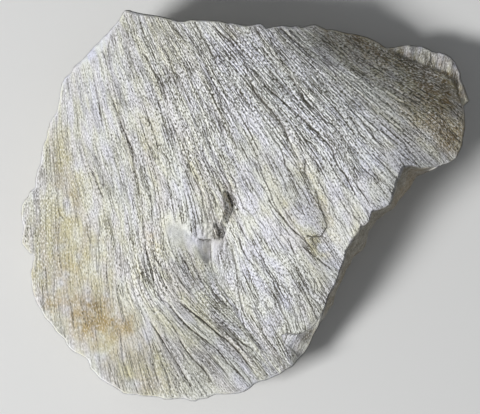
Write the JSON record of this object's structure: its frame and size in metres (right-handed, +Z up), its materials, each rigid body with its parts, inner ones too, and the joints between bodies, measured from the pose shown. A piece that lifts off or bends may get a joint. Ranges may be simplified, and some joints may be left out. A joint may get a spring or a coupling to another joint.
{
  "type": "shatter cone",
  "caption": "Fragment of fine-grained pale limestone with a striated, fan-shaped shatter-cone face; a display or teaching specimen that lies on its flat broken back.",
  "frame": {"origin": "middle of the bounding box's underside, on the surface the stone lies on", "axes": "+X along the longest extent, from the left shoulder to the right tip; +Y towards the apex of the fan; +Z up, out of the striated face"},
  "size_m": [0.15, 0.1304, 0.037],
  "materials": {
    "limestone": "dry, dull, finely pitted cream-white limestone with tan iron stains"
  },
  "bodies": {
    "root": {"shatter_cone": "limestone"}
  },
  "joints": []
}
